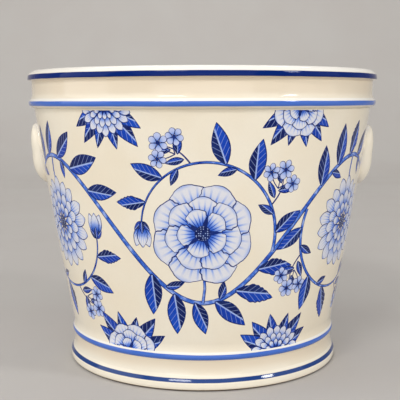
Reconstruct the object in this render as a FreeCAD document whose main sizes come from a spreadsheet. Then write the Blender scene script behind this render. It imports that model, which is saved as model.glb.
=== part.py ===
import FreeCAD, Part
import math
import os
import Sketcher

# A glazed earthenware cachepot: sections turned and moulded apart, then luted together with slip.
# The frame is +Z up, with the origin on the table at the middle of the foot.

# Driving sizes in millimetres. Radii are measured from the pot's axis.
SIZES = {
    # Foot ring
    "foot_height": 16.5,
    "foot_spread": 2.2,
    "foot_bead_height": 4.6,
    "foot_edge_round": 1.4,
    "foot_hollow": 0.9,
    "foot_top_step": 0.3,
    "foot_ring_width": 9.0,
    # Floor disc, let into the foot ring, with the wall standing on its rim
    "floor_thickness": 6.5,
    "floor_lap": 2.6,
    "luting_gap": 0.1,
    # Tapered wall with the ledge bead at its lower edge
    "wall_height": 130.5,
    "wall_top_radius": 97.3,
    "wall_foot_radius": 77.3,
    "wall_thickness": 5.2,
    "wall_bow": 0.7,
    "flare_height": 9.0,
    "flare_hollow": 0.45,
    "ledge_height": 2.7,
    "ledge_step": 0.8,
    "ledge_bulge": 0.55,
    "cove_height": 8.0,
    "cove_reach": 5.0,
    "cove_hollow": 1.6,
    "cove_edge": 0.6,
    # Collar with its bead, hollow neck and rolled lip
    "collar_height": 21.0,
    "bead_tuck": 1.7,
    "bead_shoulder": 3.3,
    "bead_height": 4.4,
    "bead_bulge": 1.25,
    "neck_hollow": 1.5,
    "neck_top_step": 2.3,
    "lip_reach": 4.2,
    "lip_height": 6.4,
    "lip_under_rise": 0.9,
    "lip_outer_round": 3.5,
    "lip_inner_round": 3.8,
    # Moulded lug handles
    "lug_drop": 8.7,
    "lug_height": 36.0,
    "lug_width": 34.0,
    "lug_proud": 4.7,
    "lug_corner_round": 7.0,
    "lug_toe_height": 17.7,
    "lug_toe_setback": 8.5,
    "lug_edge_round": 3.0,
}

# Heights and radii that follow from the driving sizes
FOOT_TOP = "Sizes.foot_height"
FOOT_RADIUS = "Sizes.wall_foot_radius + Sizes.foot_spread"
FOOT_TOP_RADIUS = "Sizes.wall_foot_radius + Sizes.foot_top_step"
FOOT_BORE_RADIUS = f"{FOOT_RADIUS} - Sizes.foot_ring_width"
FLOOR_RADIUS = "Sizes.wall_foot_radius - Sizes.wall_thickness + Sizes.floor_lap"
FLOOR_UNDERSIDE = f"{FOOT_TOP} - Sizes.floor_thickness"
WALL_FLARE_TOP = f"{FOOT_TOP} + Sizes.flare_height"
WALL_TOP = f"{FOOT_TOP} + Sizes.wall_height"
WALL_INNER_TOP_RADIUS = "Sizes.wall_top_radius - Sizes.wall_thickness"
WALL_INNER_FOOT_RADIUS = "Sizes.wall_foot_radius - Sizes.wall_thickness"
COVE_FOOT_RADIUS = f"{WALL_INNER_FOOT_RADIUS} - Sizes.cove_reach"
FLOOR_TOP = f"{FOOT_TOP} + Sizes.cove_edge"
POT_TOP = f"{WALL_TOP} + Sizes.collar_height"
LIP_RADIUS = "Sizes.wall_top_radius + Sizes.lip_reach"
LUG_TOP = f"{WALL_TOP} - Sizes.lug_drop"
LUG_BOTTOM = f"{LUG_TOP} - Sizes.lug_height"
LUG_FACE = "Sizes.wall_top_radius + Sizes.lug_proud"
# How far a quarter circle of radius 1 bows out from its chord
QUARTER_BOW = "(1 - sqrt(0.5))"

FULL_TURN = 360.0
HALF_TURN = 180.0
ZERO = "0"
STRAIGHT = None
# A sketch numbers its own origin point and axes this way
ORIGIN_POINT = (-1, 1)
AXIS_ACROSS = -1
AXIS_UP = -2
CUBIC_MM_PER_CM = 1000.0


def fill_sheet(doc):
    sheet = doc.addObject("Spreadsheet::Sheet", "Sizes")
    for row, (name, value) in enumerate(SIZES.items(), start=1):
        sheet.set(f"A{row}", name)
        sheet.set(f"B{row}", str(value))
        sheet.setAlias(f"B{row}", name)
    doc.recompute()


def sketch_on(body, plane_role, name):
    sketch = body.newObject("Sketcher::SketchObject", name)
    plane = next(item for item in body.Origin.OriginFeatures if item.Role == plane_role)
    sketch.AttachmentSupport = [(plane, "")]
    sketch.MapMode = "FlatFace"
    return sketch


def pin(sketch, spot, direction, formula):
    """Hold one point of a sketch at a distance from the origin that a formula gives."""
    value = sketch.evalExpression(formula)
    if formula == ZERO:
        axis = AXIS_UP if direction == "DistanceX" else AXIS_ACROSS
        sketch.addConstraint(Sketcher.Constraint("PointOnObject", *spot, axis))
    elif value > 0:
        held = sketch.addConstraint(Sketcher.Constraint(direction, *ORIGIN_POINT, *spot, value))
        sketch.setExpression(f"Constraints[{held}]", formula)
    else:
        held = sketch.addConstraint(Sketcher.Constraint(direction, *spot, *ORIGIN_POINT, -value))
        sketch.setExpression(f"Constraints[{held}]", f"-({formula})")


def add_arc(sketch, start, finish, corner, next_corner):
    """Add an arc that bows out of its chord, and return the spots at its start and finish."""
    across, up, bulge = corner
    next_across, next_up, next_bulge = next_corner
    bow = sketch.evalExpression(bulge)
    chord = finish - start
    radius = (chord.Length ** 2 + 4 * bow ** 2) / (8 * abs(bow))
    outward = FreeCAD.Vector(chord.y, -chord.x, 0).normalize()
    centre = (start + finish) * 0.5 + outward * (bow - math.copysign(radius, bow))
    first, last = (start, finish) if bow > 0 else (finish, start)
    first_angle = math.atan2(first.y - centre.y, first.x - centre.x)
    last_angle = math.atan2(last.y - centre.y, last.x - centre.x)
    circle = Part.Circle(centre, FreeCAD.Vector(0, 0, 1), radius)
    edge = sketch.addGeometry(Part.ArcOfCircle(circle, first_angle, last_angle))
    held = sketch.addConstraint(Sketcher.Constraint("Radius", edge, radius))
    chord_across = f"({next_across} - ({across}))"
    chord_up = f"({next_up} - ({up}))"
    sketch.setExpression(
        f"Constraints[{held}]",
        f"({chord_across}^2 + {chord_up}^2 + 4 * ({bulge})^2) / (8 * abs({bulge}))",
    )
    return ((edge, 1), (edge, 2)) if bow > 0 else ((edge, 2), (edge, 1))


def draw_outline(sketch, corners):
    """Draw a closed outline, anticlockwise.

    A corner is (across, up, bulge): two formulas for its place, and one for how far the edge that
    leaves it bows outwards, which is negative for a hollow edge.
    """
    places = [
        FreeCAD.Vector(sketch.evalExpression(across), sketch.evalExpression(up), 0)
        for across, up, bulge in corners
    ]
    edges = []
    for index, corner in enumerate(corners):
        following = (index + 1) % len(corners)
        if corner[2] is STRAIGHT:
            edge = sketch.addGeometry(Part.LineSegment(places[index], places[following]))
            edges.append(((edge, 1), (edge, 2)))
        else:
            edges.append(add_arc(sketch, places[index], places[following], corner, corners[following]))
    for index, corner in enumerate(corners):
        finish_before = edges[index - 1][1]
        start = edges[index][0]
        sketch.addConstraint(Sketcher.Constraint("Coincident", *finish_before, *start))
        pin(sketch, start, "DistanceX", corner[0])
        pin(sketch, start, "DistanceY", corner[1])


def turned_body(doc, name, corners):
    """A piece turned on the wheel: an outline of radius and height, spun about the pot's axis."""
    body = doc.addObject("PartDesign::Body", name)
    sketch = sketch_on(body, "XZ_Plane", f"{name}_outline")
    draw_outline(sketch, corners)
    turning = body.newObject("PartDesign::Revolution", f"{name}_turning")
    turning.Profile = sketch
    turning.ReferenceAxis = (sketch, ["V_Axis"])
    turning.Angle = FULL_TURN
    return body


def foot_ring(doc):
    rebate_radius = f"{FLOOR_RADIUS} + Sizes.luting_gap"
    edge_bow = f"Sizes.foot_edge_round * {QUARTER_BOW}"
    corners = [
        (FOOT_BORE_RADIUS, ZERO, STRAIGHT),
        (f"{FOOT_RADIUS} - Sizes.foot_edge_round", ZERO, edge_bow),
        (FOOT_RADIUS, "Sizes.foot_edge_round", STRAIGHT),
        (FOOT_RADIUS, "Sizes.foot_bead_height", "-Sizes.foot_hollow"),
        (FOOT_TOP_RADIUS, FOOT_TOP, STRAIGHT),
        (rebate_radius, FOOT_TOP, STRAIGHT),
        (rebate_radius, FLOOR_UNDERSIDE, STRAIGHT),
        (FOOT_BORE_RADIUS, FLOOR_UNDERSIDE, STRAIGHT),
    ]
    return turned_body(doc, "foot_ring", corners)


def base_floor(doc):
    """The floor disc, with a low raised middle that centres the wall and meets its cove flush."""
    panel_radius = f"{COVE_FOOT_RADIUS} - Sizes.luting_gap"
    corners = [
        (ZERO, FLOOR_UNDERSIDE, STRAIGHT),
        (FLOOR_RADIUS, FLOOR_UNDERSIDE, STRAIGHT),
        (FLOOR_RADIUS, FOOT_TOP, STRAIGHT),
        (panel_radius, FOOT_TOP, STRAIGHT),
        (panel_radius, FLOOR_TOP, STRAIGHT),
        (ZERO, FLOOR_TOP, STRAIGHT),
    ]
    return turned_body(doc, "base_floor", corners)


def body_wall(doc):
    ledge_top_radius = "Sizes.wall_foot_radius + Sizes.ledge_step"
    ledge_top = f"{FOOT_TOP} + Sizes.ledge_height"
    corners = [
        (COVE_FOOT_RADIUS, FOOT_TOP, STRAIGHT),
        (FOOT_TOP_RADIUS, FOOT_TOP, "Sizes.ledge_bulge"),
        (ledge_top_radius, ledge_top, "-Sizes.flare_hollow"),
        ("Sizes.wall_foot_radius", WALL_FLARE_TOP, "Sizes.wall_bow"),
        ("Sizes.wall_top_radius", WALL_TOP, STRAIGHT),
        (WALL_INNER_TOP_RADIUS, WALL_TOP, "-Sizes.wall_bow"),
        (WALL_INNER_FOOT_RADIUS, f"{FOOT_TOP} + Sizes.cove_height", "-Sizes.cove_hollow"),
        (COVE_FOOT_RADIUS, FLOOR_TOP, STRAIGHT),
    ]
    return turned_body(doc, "body_wall", corners)


def rim_collar(doc):
    neck_top = f"{POT_TOP} - Sizes.lip_height"
    lip_crest_radius = f"{LIP_RADIUS} - Sizes.lip_outer_round"
    corners = [
        (WALL_INNER_TOP_RADIUS, WALL_TOP, STRAIGHT),
        ("Sizes.wall_top_radius + Sizes.bead_tuck", WALL_TOP, "Sizes.bead_bulge"),
        (
            "Sizes.wall_top_radius + Sizes.bead_shoulder",
            f"{WALL_TOP} + Sizes.bead_height",
            "-Sizes.neck_hollow",
        ),
        ("Sizes.wall_top_radius + Sizes.neck_top_step", neck_top, STRAIGHT),
        (LIP_RADIUS, f"{neck_top} + Sizes.lip_under_rise", STRAIGHT),
        (LIP_RADIUS, f"{POT_TOP} - Sizes.lip_outer_round", f"Sizes.lip_outer_round * {QUARTER_BOW}"),
        (lip_crest_radius, POT_TOP, f"Sizes.lip_inner_round * {QUARTER_BOW}"),
        (f"{lip_crest_radius} - Sizes.lip_inner_round", f"{POT_TOP} - Sizes.lip_inner_round", STRAIGHT),
    ]
    return turned_body(doc, "rim_collar", corners)


def pad_lug_tongue(body):
    """A tongue-shaped bar from the pot's axis out to the lug's face: square shoulders, round below."""
    half_width = "Sizes.lug_width / 2"
    shoulder = f"{half_width} - Sizes.lug_corner_round"
    shoulder_foot = f"{LUG_TOP} - Sizes.lug_corner_round"
    round_top = f"{LUG_BOTTOM} + {half_width}"
    corner_bow = f"Sizes.lug_corner_round * {QUARTER_BOW}"
    round_bow = f"{half_width} * {QUARTER_BOW}"
    corners = [
        (ZERO, LUG_BOTTOM, round_bow),
        (half_width, round_top, STRAIGHT),
        (half_width, shoulder_foot, corner_bow),
        (shoulder, LUG_TOP, STRAIGHT),
        (f"-({shoulder})", LUG_TOP, corner_bow),
        (f"-({half_width})", shoulder_foot, STRAIGHT),
        (f"-({half_width})", round_top, round_bow),
    ]
    sketch = sketch_on(body, "YZ_Plane", f"{body.Name}_tongue")
    draw_outline(sketch, corners)
    pad = body.newObject("PartDesign::Pad", f"{body.Name}_bar")
    pad.Profile = sketch
    pad.setExpression("Length", LUG_FACE)


def cut_lug_toe(body):
    """Round the face back towards the wall over the lug's lower half."""
    toe_top = f"{LUG_BOTTOM} + Sizes.lug_toe_height"
    toe_foot = f"{LUG_FACE} - Sizes.lug_toe_setback"
    outside = f"{LUG_FACE} + Sizes.lug_toe_setback"
    below = f"{LUG_BOTTOM} - Sizes.lug_toe_setback"
    reach = "Sizes.lug_toe_height"
    setback = "Sizes.lug_toe_setback"
    radius = f"(({reach}^2 + {setback}^2) / (2 * {setback}))"
    toe_bow = f"-({radius} - sqrt({radius}^2 - ({reach}^2 + {setback}^2) / 4))"
    corners = [
        (toe_foot, below, STRAIGHT),
        (outside, below, STRAIGHT),
        (outside, toe_top, STRAIGHT),
        (LUG_FACE, toe_top, toe_bow),
        (toe_foot, LUG_BOTTOM, STRAIGHT),
    ]
    sketch = sketch_on(body, "XZ_Plane", f"{body.Name}_toe_outline")
    draw_outline(sketch, corners)
    pocket = body.newObject("PartDesign::Pocket", f"{body.Name}_toe")
    pocket.Profile = sketch
    pocket.SideType = "Symmetric"
    pocket.setExpression("Length", "Sizes.lug_width * 2")
    return pocket


def rim_edges(shape, reach):
    """Names of the edges between the lug's front faces and its sides."""
    front_faces = [face for face in shape.Faces if face.BoundBox.XMin > reach / 2]
    names = []
    for number, edge in enumerate(shape.Edges, start=1):
        owners = [face for face in front_faces if any(edge.isSame(side) for side in face.Edges)]
        if len(owners) == 1:
            names.append(f"Edge{number}")
    return names


def soften_lug(body, shaped):
    """Round the rim of the lug, where its front meets the tongue's sides."""
    reach = shaped.evalExpression(LUG_FACE)
    fillet = body.newObject("PartDesign::Fillet", f"{body.Name}_rim")
    fillet.Base = (shaped, rim_edges(shaped.Shape, reach))
    fillet.setExpression("Radius", "Sizes.lug_edge_round")


def seat_lug(body):
    """Cut the lug's back to the wall's own outline, with room for the slip between them."""
    wall_foot = "Sizes.wall_foot_radius + Sizes.luting_gap"
    wall_head = "Sizes.wall_top_radius + Sizes.luting_gap"
    corners = [
        (ZERO, WALL_FLARE_TOP, STRAIGHT),
        (wall_foot, WALL_FLARE_TOP, "Sizes.wall_bow"),
        (wall_head, WALL_TOP, STRAIGHT),
        (ZERO, WALL_TOP, STRAIGHT),
    ]
    sketch = sketch_on(body, "XZ_Plane", f"{body.Name}_seat_outline")
    draw_outline(sketch, corners)
    groove = body.newObject("PartDesign::Groove", f"{body.Name}_seat")
    groove.Profile = sketch
    groove.ReferenceAxis = (sketch, ["V_Axis"])
    groove.Angle = FULL_TURN


def lug_handle(doc, name, turn):
    body = doc.addObject("PartDesign::Body", name)
    pad_lug_tongue(body)
    toe = cut_lug_toe(body)
    doc.recompute()
    soften_lug(body, toe)
    seat_lug(body)
    body.Placement = FreeCAD.Placement(
        FreeCAD.Vector(0, 0, 0), FreeCAD.Rotation(FreeCAD.Vector(0, 0, 1), turn)
    )
    return body


def check_document(doc, pieces):
    failed = [item.Label for item in doc.Objects if {"Invalid", "Error"} & set(item.State)]
    if failed:
        raise RuntimeError(f"these objects failed: {failed}")
    for piece in pieces:
        if piece.Shape.isNull() or not piece.Shape.isValid() or len(piece.Shape.Solids) != 1:
            raise RuntimeError(f"{piece.Label} is not one valid solid")


doc = FreeCAD.newDocument("cachepot")
fill_sheet(doc)
pieces = [
    foot_ring(doc),
    base_floor(doc),
    body_wall(doc),
    rim_collar(doc),
    lug_handle(doc, "right_handle", 0.0),
    lug_handle(doc, "left_handle", HALF_TURN),
]
doc.recompute()
check_document(doc, pieces)

os.makedirs("parts", exist_ok=True)
for piece in pieces:
    piece.Shape.exportStep(os.path.join("parts", f"{piece.Label}.step"))
    box = piece.Shape.optimalBoundingBox()
    print(
        f"{piece.Label}: {piece.Shape.Volume / CUBIC_MM_PER_CM:.1f} cm3, "
        f"x {box.XMin:.2f} to {box.XMax:.2f}, z {box.ZMin:.2f} to {box.ZMax:.2f}"
    )
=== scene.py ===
import random
from math import atan2, copysign, cos, dist, hypot, pi, radians, sin, sqrt

import bmesh
import bpy
import numpy as np
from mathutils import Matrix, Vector
from mathutils.geometry import delaunay_2d_cdt


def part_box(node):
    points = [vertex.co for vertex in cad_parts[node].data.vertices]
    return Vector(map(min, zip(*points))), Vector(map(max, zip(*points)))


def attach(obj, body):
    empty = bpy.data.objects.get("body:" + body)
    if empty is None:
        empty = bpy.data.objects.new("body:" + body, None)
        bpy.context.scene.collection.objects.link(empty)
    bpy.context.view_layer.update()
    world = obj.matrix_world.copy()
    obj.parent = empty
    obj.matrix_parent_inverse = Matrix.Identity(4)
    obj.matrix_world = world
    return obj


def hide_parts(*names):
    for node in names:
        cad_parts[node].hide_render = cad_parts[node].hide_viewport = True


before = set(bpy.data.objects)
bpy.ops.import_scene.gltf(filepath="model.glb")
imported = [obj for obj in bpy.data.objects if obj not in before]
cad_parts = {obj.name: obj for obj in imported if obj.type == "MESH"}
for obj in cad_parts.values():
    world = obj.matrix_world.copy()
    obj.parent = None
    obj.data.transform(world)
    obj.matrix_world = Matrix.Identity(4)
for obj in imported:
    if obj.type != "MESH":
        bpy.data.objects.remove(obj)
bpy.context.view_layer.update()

# A glazed earthenware cachepot with a printed wall and painted bands.
# Shapes are worked out in millimetres and built in metres: +Z is up and -Y is towards the viewer.
MM = 0.001
FULL_TURN = 2 * pi


def node_box(node):
    """The low and high corners of a CAD node's box, in millimetres."""
    low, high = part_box(node)
    return low / MM, high / MM


_, foot_high = node_box("foot_ring")
floor_low, floor_high = node_box("base_floor")
_, wall_high = node_box("body_wall")
_, collar_high = node_box("rim_collar")
lug_low, lug_high = node_box("right_handle")

# Heights and radii of the sections, in millimetres
FOOT_RADIUS = foot_high.x
FOOT_TOP = foot_high.z
FOOT_BORE = 70.5
FOOT_EDGE_ROUND = 2.3
FOOT_BEAD_TOP = 3.5
FOOT_SHOULDER_RADIUS = 78.5
FOOT_SHOULDER = 6.2
FOOT_SHOULDER_BULGE = 0.36
FOOT_TOP_RADIUS = 77.6
FOOT_HOLLOW = -0.8
FLOOR_UNDERSIDE = floor_low.z
FLOOR_TOP = floor_high.z
FLOOR_RADIUS = floor_high.x
JOINT_GAP = 0.1
REBATE_RADIUS = FLOOR_RADIUS + JOINT_GAP
LEDGE_RADIUS = 78.1
LEDGE_TOP = 19.2
LEDGE_BULGE = 0.55
FLARE_HOLLOW = -0.45
WALL_FOOT_RADIUS = 77.7
WALL_FOOT = 25.5
WALL_TOP_SWELL = 0.6
WALL_TOP_RADIUS = wall_high.x + WALL_TOP_SWELL
WALL_TOP = wall_high.z
WALL_BOW = 0.85
INNER_TOP_RADIUS = 92.1
INNER_FOOT_RADIUS = 72.1
INNER_FOOT = 24.5
COVE_RADIUS = 67.1
COVE_HOLLOW = -1.6
BEAD_TUCK_RADIUS = 98.6
BEAD_FOOT_RADIUS = 99.9
BEAD_FOOT_RISE = 0.6
BEAD_RADIUS = 100.6
BEAD_TOP = 151.4
BEAD_BULGE = 0.75
NECK_RADIUS = 99.0
NECK_FOOT = 154.6
NECK_FOOT_HOLLOW = -0.35
NECK_TOP_RADIUS = 99.2
NECK_TOP = 162.2
LIP_RADIUS = collar_high.x
LIP_UNDERSIDE = 162.5
LIP_OUTER_ROUND = 4.5
LIP_INNER_ROUND = 3.8
POT_TOP = collar_high.z

# Bows: of a quarter round, as a share of its radius, of a flat edge, and of the edge that print_band makes
QUARTER_BOW = 1 - sqrt(0.5)
STRAIGHT = 0.0
PRINTED = None

# The print covers this stretch of the wall
PRINT_FOOT = 19.9
PRINT_HEAD = 146.8

# How finely the turned sections are made
OUTLINE_STEP = 0.35
SOFTENING_PASSES = 3
TURN_STEPS = 240
FLAT_TURN = radians(2.5)
LONGEST_EDGE = 6.0
WELD = 0.001
SHARP_ANGLE = radians(50)


def right_of(direction):
    return Vector((direction.y, -direction.x)).normalized()


def bow_radius(length, bow):
    return ((length / 2) ** 2 + bow ** 2) / (2 * bow)


def edge_arc(start, finish, bow):
    """The centre and radius of the arc over a straight edge; both turn over where the edge is hollow."""
    start, finish = Vector(start), Vector(finish)
    chord = finish - start
    radius = bow_radius(chord.length, bow)
    outward = right_of(chord)
    return start + chord / 2 - outward * (radius - bow), radius


FLARE_ARC = edge_arc((LEDGE_RADIUS, LEDGE_TOP), (WALL_FOOT_RADIUS, WALL_FOOT), FLARE_HOLLOW)
WALL_ARC = edge_arc((WALL_FOOT_RADIUS, WALL_FOOT), (WALL_TOP_RADIUS, WALL_TOP), WALL_BOW)


def wall_radius(height):
    """How far out the wall's outer face lies, from the ledge up to the collar."""
    centre, radius = FLARE_ARC if height < WALL_FOOT else WALL_ARC
    height = max(height, LEDGE_TOP)
    return centre.x + copysign(sqrt(radius ** 2 - (height - centre.y) ** 2), radius)


def pot_corners():
    """The whole pot's outline as radius, height, the bow of the edge that follows, and a joint's name."""
    crest_radius = LIP_RADIUS - LIP_OUTER_ROUND
    return [
        (0.0, FLOOR_UNDERSIDE, STRAIGHT, "underside_middle"),
        (FOOT_BORE, FLOOR_UNDERSIDE, STRAIGHT, "underside_joint"),
        (FOOT_BORE, 0.0, STRAIGHT, ""),
        (FOOT_RADIUS - FOOT_EDGE_ROUND, 0.0, FOOT_EDGE_ROUND * QUARTER_BOW, ""),
        (FOOT_RADIUS, FOOT_EDGE_ROUND, STRAIGHT, ""),
        (FOOT_RADIUS, FOOT_BEAD_TOP, FOOT_SHOULDER_BULGE, ""),
        (FOOT_SHOULDER_RADIUS, FOOT_SHOULDER, FOOT_HOLLOW, ""),
        (FOOT_TOP_RADIUS, FOOT_TOP, LEDGE_BULGE, "foot_joint"),
        (LEDGE_RADIUS, LEDGE_TOP, STRAIGHT, ""),
        (wall_radius(PRINT_FOOT), PRINT_FOOT, PRINTED, "print_foot"),
        (wall_radius(PRINT_HEAD), PRINT_HEAD, STRAIGHT, "print_head"),
        (WALL_TOP_RADIUS, WALL_TOP, STRAIGHT, "collar_joint"),
        (BEAD_TUCK_RADIUS, WALL_TOP, STRAIGHT, ""),
        (BEAD_FOOT_RADIUS, WALL_TOP + BEAD_FOOT_RISE, BEAD_BULGE, ""),
        (BEAD_RADIUS, BEAD_TOP, NECK_FOOT_HOLLOW, ""),
        (NECK_RADIUS, NECK_FOOT, STRAIGHT, ""),
        (NECK_TOP_RADIUS, NECK_TOP, STRAIGHT, ""),
        (LIP_RADIUS, LIP_UNDERSIDE, STRAIGHT, ""),
        (LIP_RADIUS, POT_TOP - LIP_OUTER_ROUND, LIP_OUTER_ROUND * QUARTER_BOW, ""),
        (crest_radius, POT_TOP, LIP_INNER_ROUND * QUARTER_BOW, ""),
        (crest_radius - LIP_INNER_ROUND, POT_TOP - LIP_INNER_ROUND, STRAIGHT, ""),
        (INNER_TOP_RADIUS, WALL_TOP, -WALL_BOW, "inner_collar_joint"),
        (INNER_FOOT_RADIUS, INNER_FOOT, COVE_HOLLOW, ""),
        (COVE_RADIUS, FLOOR_TOP, STRAIGHT, "inner_floor_joint"),
        (0.0, FLOOR_TOP, STRAIGHT, "floor_middle"),
    ]


def along_edge(start, finish, bow):
    """Points from start up to finish, on a straight line or on an arc that bows out to its right."""
    chord = finish - start
    count = 1 if bow is PRINTED else max(1, round(chord.length / OUTLINE_STEP))
    outward = right_of(chord)
    for step in range(count):
        share = step / count
        point = start + chord * share
        if bow:
            radius = bow_radius(chord.length, abs(bow))
            from_middle = (share - 0.5) * chord.length
            rise = sqrt(radius ** 2 - from_middle ** 2) - (radius - abs(bow))
            point += outward * copysign(rise, bow)
        yield point


def glazed_outline():
    """The pot's outline with its corners softened by the glaze, and where each joint lies in it."""
    corners = pot_corners()
    points = []
    joints = {}
    for (radius, height, bow, joint), following in zip(corners, corners[1:]):
        joints[joint] = len(points)
        points.extend(along_edge(Vector((radius, height)), Vector(following[:2]), bow))
    joints["floor_middle"] = len(points)
    points.append(Vector(corners[-1][:2]))
    held = {joints[name] for name in ("underside_middle", "print_foot", "print_head", "floor_middle")}
    for _ in range(SOFTENING_PASSES):
        points = [
            point if index in held else (points[index - 1] + point * 2 + points[index + 1]) / 4
            for index, point in enumerate(points)
        ]
    return points, joints


def thinned(points):
    """Leave out the points that lie along a straight run of the outline."""
    kept = [points[0]]
    for point, following in zip(points[1:], points[2:]):
        arrival = point - kept[-1]
        departure = following - point
        if abs(arrival.angle_signed(departure)) > FLAT_TURN or arrival.length > LONGEST_EDGE:
            kept.append(point)
    kept.append(points[-1])
    return kept


OUTLINE, JOINTS = glazed_outline()


def run(first, last):
    """The stretch of the pot's outline from one joint to another, both included."""
    return thinned(OUTLINE[JOINTS[first]:JOINTS[last] + 1])


def spin_outline(outline, closed):
    """Turn an outline of radius and height about the pot's axis, starting at the back."""
    bm = bmesh.new()
    verts = [bm.verts.new((0.0, radius * MM, height * MM)) for radius, height in outline]
    pairs = list(zip(verts, verts[1:]))
    if closed:
        pairs.append((verts[-1], verts[0]))
    edges = [bm.edges.new(pair) for pair in pairs]
    bmesh.ops.spin(
        bm, geom=verts + edges, cent=(0, 0, 0), axis=(0, 0, 1),
        angle=FULL_TURN, steps=TURN_STEPS, use_merge=True,
    )
    bmesh.ops.remove_doubles(bm, verts=bm.verts, dist=WELD * MM)
    return bm


def add_object(name, data):
    made = bpy.data.objects.new(name, data)
    bpy.context.scene.collection.objects.link(made)
    return made


def smooth_object(bm, name, materials):
    """Put a bmesh into the scene as a smooth-shaded object."""
    for face in bm.faces:
        face.smooth = True
    mesh = bpy.data.meshes.new(name)
    bm.to_mesh(mesh)
    bm.free()
    for material in materials:
        mesh.materials.append(material)
    return add_object(name, mesh)


def finished_piece(bm, name, node, materials):
    """Turn a closed bmesh into a named piece that stands for a CAD node."""
    bmesh.ops.recalc_face_normals(bm, faces=bm.faces)
    if bm.calc_volume(signed=True) < 0:
        bmesh.ops.reverse_faces(bm, faces=bm.faces)
    piece = smooth_object(bm, name, materials)
    piece.data.set_sharp_from_angle(angle=SHARP_ANGLE)
    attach(piece, "root")
    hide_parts(node)
    return piece


# Shader helpers, with the places of the colours among a Mix node's sockets
MIX_FIRST = 6
MIX_SECOND = 7
MIX_RESULT = 2


def linear(red, green, blue):
    """A colour given in the 0 to 255 values of a screen, as Blender's linear values."""
    channels = [value / 255 for value in (red, green, blue)]
    return tuple(
        channel / 12.92 if channel <= 0.04045 else ((channel + 0.055) / 1.055) ** 2.4 for channel in channels
    ) + (1.0,)


def set_inputs(tree, node, sources):
    """Link each source that is a socket to its input, and set each that is a plain value."""
    for name, source in sources.items():
        if isinstance(source, bpy.types.NodeSocket):
            tree.links.new(source, node.inputs[name])
        else:
            node.inputs[name].default_value = source


def add_node(tree, kind, sources=None, **settings):
    """Add a shader node with its settings and sources, and hand back its outputs."""
    node = tree.nodes.new("ShaderNode" + kind)
    for name, value in settings.items():
        setattr(node, name, value)
    set_inputs(tree, node, sources or {})
    return node.outputs


def maths(tree, operation, *values, clamp=False):
    return add_node(tree, "Math", dict(enumerate(values)), operation=operation, use_clamp=clamp)[0]


def mixed(tree, share, first, second, blend="MIX"):
    sources = {"Factor": share, MIX_FIRST: first, MIX_SECOND: second}
    return add_node(tree, "Mix", sources, data_type="RGBA", blend_type=blend)[MIX_RESULT]


def smooth_range(tree, value, low, high, to_low=0.0, to_high=1.0):
    sources = {"Value": value, "From Min": low, "From Max": high, "To Min": to_low, "To Max": to_high}
    return add_node(tree, "MapRange", sources, interpolation_type="SMOOTHSTEP")[0]


def ramp(tree, value, stops):
    node = tree.nodes.new("ShaderNodeValToRGB")
    elements = node.color_ramp.elements
    while len(elements) < len(stops):
        elements.new(0.5)
    for element, (position, colour) in zip(elements, stops):
        element.position = position
        element.color = colour
    set_inputs(tree, node, {"Fac": value})
    return node.outputs["Color"]


def object_place(tree):
    return add_node(tree, "TexCoord")["Object"]


def noise(tree, scale, detail, *stretch):
    """Noise over the object, with a stretch of its values drawn out to another range if one is given."""
    sources = {"Vector": object_place(tree), "Scale": scale, "Detail": detail}
    value = add_node(tree, "TexNoise", sources)["Fac"]
    return smooth_range(tree, value, *stretch) if stretch else value


def split_axes(tree, vector):
    return add_node(tree, "SeparateXYZ", {0: vector})


def beyond_radius(tree, place, limit):
    """1 where a point lies further from the pot's axis than the limit, which keeps paint to the outside."""
    axes = split_axes(tree, place)
    square = maths(tree, "MULTIPLY", axes["X"], axes["X"])
    square = maths(tree, "MULTIPLY_ADD", axes["Y"], axes["Y"], square)
    return maths(tree, "GREATER_THAN", maths(tree, "SQRT", square), limit)


def new_group(name, inputs, outputs):
    """A shader node group with float inputs and named outputs."""
    group = bpy.data.node_groups.new(name, "ShaderNodeTree")
    for title, value in inputs.items():
        socket = group.interface.new_socket(title, in_out="INPUT", socket_type="NodeSocketFloat")
        socket.default_value = value
    for title, kind in outputs.items():
        group.interface.new_socket(title, in_out="OUTPUT", socket_type=kind)
    return group, group.nodes.new("NodeGroupInput").outputs, group.nodes.new("NodeGroupOutput")


def place_group(tree, group, **values):
    sources = {title.replace("_", " "): value for title, value in values.items()}
    return add_node(tree, "Group", sources, node_tree=group)


def new_material(name):
    material = bpy.data.materials.new(name)
    material.use_nodes = True
    tree = material.node_tree
    return material, tree, tree.nodes["Principled BSDF"]


# The glaze
CREAM = linear(243, 234, 215)
CREAM_WARM = linear(240, 228, 205)
# Darker cream under the lip and under the ledge: glaze pooling and painted shade
POOLED_AND_PAINTED_SHADE_CREAM = linear(234, 219, 195)
# Whiter cream on the bead top, the lip crest and above the ledge: thin glaze and painted highlight
THIN_GLAZE_AND_PAINTED_HIGHLIGHT_CREAM = linear(246, 242, 233)
# Lighter cream on the lugs and the foot bead: painted light
PAINTED_LIGHT_CREAM = linear(249, 240, 221)
NAVY = linear(0, 34, 108)
FOOT_LINE_BLUE = linear(26, 62, 128)
BAND_BLUE = linear(68, 110, 200)
# Biscuit of the wiped foot ring, darkened as a painted contact shadow
CONTACT_SHADE_BISCUIT = linear(128, 106, 82)
CONTACT_SHADE_BISCUIT_DARK = linear(92, 72, 54)
BISCUIT_ROUGHNESS = 0.7
GLAZE_IOR = 1.42
GLAZE_SHEEN = 0.5
RIM_BAND_SHEEN = 0.15
INK_SHEEN = 0.35

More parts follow.
